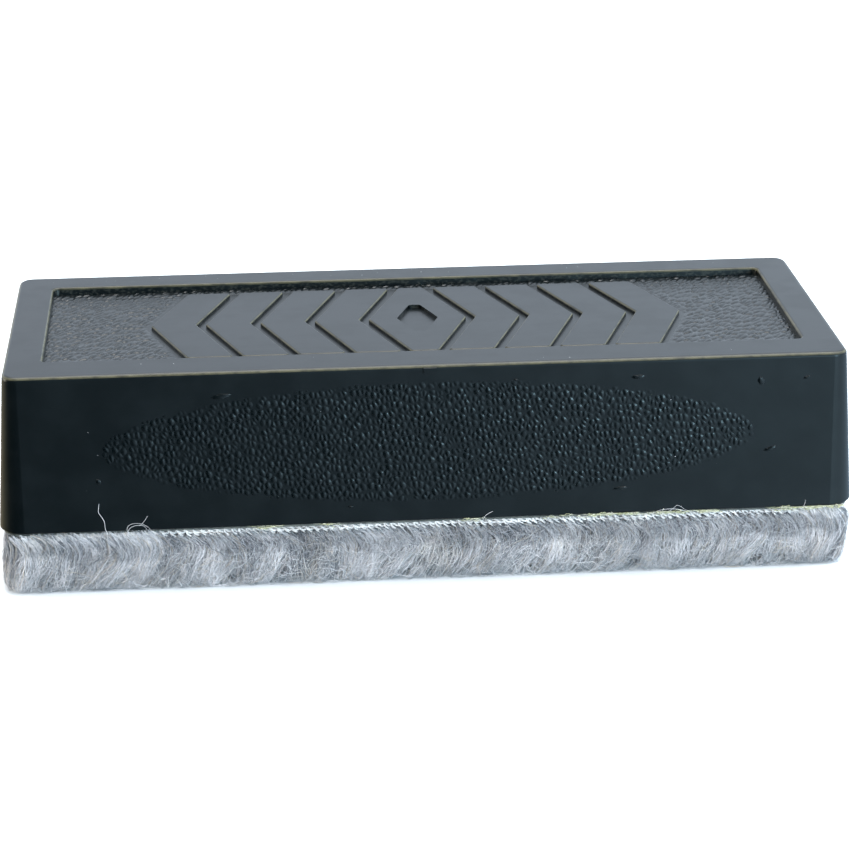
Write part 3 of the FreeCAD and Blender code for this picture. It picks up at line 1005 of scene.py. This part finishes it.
def glueFray(values):
    rng = np.random.default_rng(91)
    t = np.linspace(0.0, 1.0, 8)
    clumps = np.concatenate((rng.uniform(*values["dense"], 24), rng.uniform(-61.0, 61.0, 5)))
    lines = (("frontGlueFray", -1, values["curls"]), ("backGlueFray", 1, values["curls"] // 2))
    for name, side, count in lines:
        paths = []
        radii = []
        tones = []
        for _ in range(count):
            x0 = min(61.0, rng.choice(clumps) + rng.normal(0.0, 0.8))
            reach = rng.normal(0.0, 1.1)
            hump = abs(rng.normal(0.0, 0.22))
            outwards = abs(rng.normal(0.0, 0.18))
            phase = rng.uniform(0.0, 1.0)
            bow = np.sin(math.pi * t)
            px = x0 + reach * t + 0.18 * np.sin(2 * math.pi * (1.4 * t + phase))
            pz = values["z"] + rng.normal(-0.05, 0.16) + hump * bow
            pz = pz + 0.07 * np.sin(2 * math.pi * (2.1 * t + phase))
            py = values["y"] + rng.normal(0.0, 0.10) + (outwards + 0.16) * bow
            pz = np.where(py < values["rimY"], np.minimum(pz, values["rimZ"]), pz)   # not up inside the rim
            paths.append(np.stack((px, side * py, pz), axis=-1))
            radii.append(values["radius"] * rng.uniform(0.7, 1.5) * np.sin(math.pi * (0.12 + 0.80 * t)))
            tones.append(0 if rng.random() < 0.55 else 1)
        linkPiece(strandMesh(name, paths, radii, tones, frayMaterials), "glue")


glueFray(fray)
print("stage: glue fray")


looseFibres = {
    "radius": 0.030,
    "strands": [
        # points along X and Z, in mm, each lying on the front side
        [(-47.6, 9.3), (-48.0, 10.4), (-48.0, 11.4), (-48.4, 12.2), (-48.9, 12.9), (-48.8, 13.6), (-48.7, 14.2)],
        [(-44.4, 9.2), (-44.9, 10.0), (-44.6, 10.8), (-43.6, 11.1), (-42.4, 10.9), (-41.6, 10.3), (-41.2, 9.6)],
        [(-44.6, 9.1), (-44.7, 9.9), (-44.2, 10.5), (-43.2, 10.8), (-42.2, 10.6), (-41.9, 10.0), (-42.3, 9.5)],
        [(-43.0, 10.6), (-42.5, 11.0), (-42.1, 11.5), (-41.7, 12.1)],
        [(34.9, 9.6), (35.8, 10.1), (36.6, 10.9), (37.2, 10.6), (37.9, 10.0), (38.9, 9.7)],
        [(33.0, 9.7), (34.2, 10.2), (35.5, 10.3), (36.8, 10.2), (38.0, 9.8)],
        [(7.6, 9.6), (7.9, 10.2), (8.4, 10.6), (9.1, 10.9)],
        [(55.6, 9.7), (55.9, 10.3), (56.0, 10.9)],
    ],
}


def layFibres(values):
    rng = np.random.default_rng(101)
    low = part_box("handle_shell")[0]
    rimY = low[1] / mm
    rimZ = low[2] / mm
    paths = []
    radii = []
    for points in values["strands"]:
        flat = np.array(points, float)
        n = len(flat)
        fine = np.linspace(0, n - 1, 4 * n)
        x = np.interp(fine, np.arange(n), flat[:, 0])
        z = np.interp(fine, np.arange(n), flat[:, 1])
        for _ in range(3):
            for row in (x, z):
                row[1:-1] = (row[:-2] + 2 * row[1:-1] + row[2:]) / 4
        face = rimY + np.maximum(z - rimZ, 0.0) * math.tan(math.radians(sideOval["draft"]))
        y = face - 0.05 - 0.06 * np.sin(np.linspace(0, math.pi, len(x)))
        paths.append(np.stack((x, y, z), axis=-1))
        radii.append(np.full(len(x), values["radius"] * rng.uniform(0.7, 1.2)))
    linkPiece(strandMesh("looseFibres", paths, radii, [0] * len(paths), [pileTones[0]]), "pile")


layFibres(looseFibres)
print("stage: loose fibres")


marks = {
    "nicks": [
        # along X and Z on the front side, length, height, turn in degrees
        (-30.5, 29.9, 2.9, 0.75, -6.0), (48.8, 29.6, 1.2, 1.0, 50.0), (30.5, 30.8, 2.0, 0.6, -4.0),
        (50.3, 19.1, 2.0, 0.55, -18.0), (28.3, 13.8, 2.2, 0.42, -4.0), (-48.6, 17.6, 0.9, 0.7, 60.0),
        (55.6, 29.9, 1.1, 0.4, -20.0), (-12.0, 12.4, 0.9, 0.2, 0.0), (12.5, 31.0, 0.8, 0.22, 10.0),
    ],
    "nickDepth": 0.34,
    "specks": 34,
    "speckSize": (0.05, 0.13),
}


def handleMarks(values):
    rng = np.random.default_rng(111)
    low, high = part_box("handle_shell")
    lean = math.radians(sideOval["draft"])
    bm = bmesh.new()
    for x, z, length, height, turn in values["nicks"]:
        faceY = low[1] / mm + (z - low[2] / mm) * math.tan(lean)
        made = bmesh.ops.create_icosphere(bm, subdivisions=3, radius=0.5)["verts"]
        for vert in made:
            vx, vz = vert.co.x, vert.co.z
            vert.co *= 1.0 + 0.28 * math.sin(8.0 * vx + 6.0 * vz + x) * math.cos(9.0 * vz + 4.0 * vx)
        tilt = Matrix.Rotation(-lean, 4, "X") @ Matrix.Rotation(math.radians(turn), 4, "Y")
        stretch = Matrix.Diagonal((length, values["nickDepth"], height, 1.0))
        bmesh.ops.transform(bm, matrix=Matrix.Translation((x, faceY, z)) @ tilt @ stretch, verts=made)
    bmesh.ops.scale(bm, verts=bm.verts, vec=(mm, mm, mm))
    linkPiece(meshObject("handleNicks", bm, [grainMaterial]), "black_plastic")

    bm = bmesh.new()
    for index in range(values["specks"]):
        size = rng.uniform(*values["speckSize"])
        x = rng.uniform(-60.0, 60.0)
        if index < values["specks"] * 0.7:     # most lie on the top's border, the rest on the front
            y = rng.choice([rng.uniform(-23.0, -18.6), rng.uniform(19.3, 23.0)])
            place = Matrix.Translation((x, y, high[2] / mm))
        else:
            z = rng.uniform(11.0, 32.0)
            place = Matrix.Translation((x, low[1] / mm + (z - low[2] / mm) * math.tan(lean), z))
        made = bmesh.ops.create_icosphere(bm, subdivisions=1, radius=0.5)["verts"]
        spin = Matrix.Rotation(rng.uniform(0.0, math.pi), 4, "Z")
        stretch = Matrix.Diagonal((size * rng.uniform(1.0, 2.6), size, size * 0.7, 1.0))
        bmesh.ops.transform(bm, matrix=place @ spin @ stretch, verts=made)
    bmesh.ops.scale(bm, verts=bm.verts, vec=(mm, mm, mm))
    linkPiece(meshObject("chalkSpecks", bm, [pileTones[1]]), "black_plastic")


handleMarks(marks)
print("stage: marks")


# the pieces between the pad and the handle
def layerMaterial(name, light, shade, scale, rough):
    material, tree, shader = startMaterial(name)
    coords = objectCoords(tree)
    uneven = noiseOf(tree, coords, scale, 4.0)
    tint = mixColour(tree, rampOf(tree, uneven, 0.35, 0.65), shade, light)
    tree.links.new(tint, shader.inputs["Base Color"])
    tree.links.new(rampOf(tree, uneven, 0.3, 0.7, rough - 0.1, rough + 0.1), shader.inputs["Roughness"])
    addBump(tree, shader, noiseOf(tree, coords, scale * 4.0, 3.0), 0.5, 0.0001)
    return material


oldGlue = layerMaterial("yellowedGlue", (0.20, 0.20, 0.12), (0.12, 0.12, 0.08), 400.0, 0.45)
# painted shade: the back coating gets a dark colour for the dark gap under the rim, though the real coating is
# paler
paintedShadeCoating = layerMaterial("paintedShadeCoating", (0.15, 0.155, 0.14), (0.08, 0.085, 0.08), 900.0, 0.7)
nodeFinishes = {
    "rim_glue_bead": oldGlue,
    "rib_glue_beads": oldGlue,
    "back_coating": paintedShadeCoating,
    "ground_wale_yarns": chainYarnMaterial,
    "ground_inlay_yarns": chainYarnMaterial,
}
for node, finish in nodeFinishes.items():
    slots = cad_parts[node].data.materials
    slots.clear()
    slots.append(finish)
print("stage: layers")
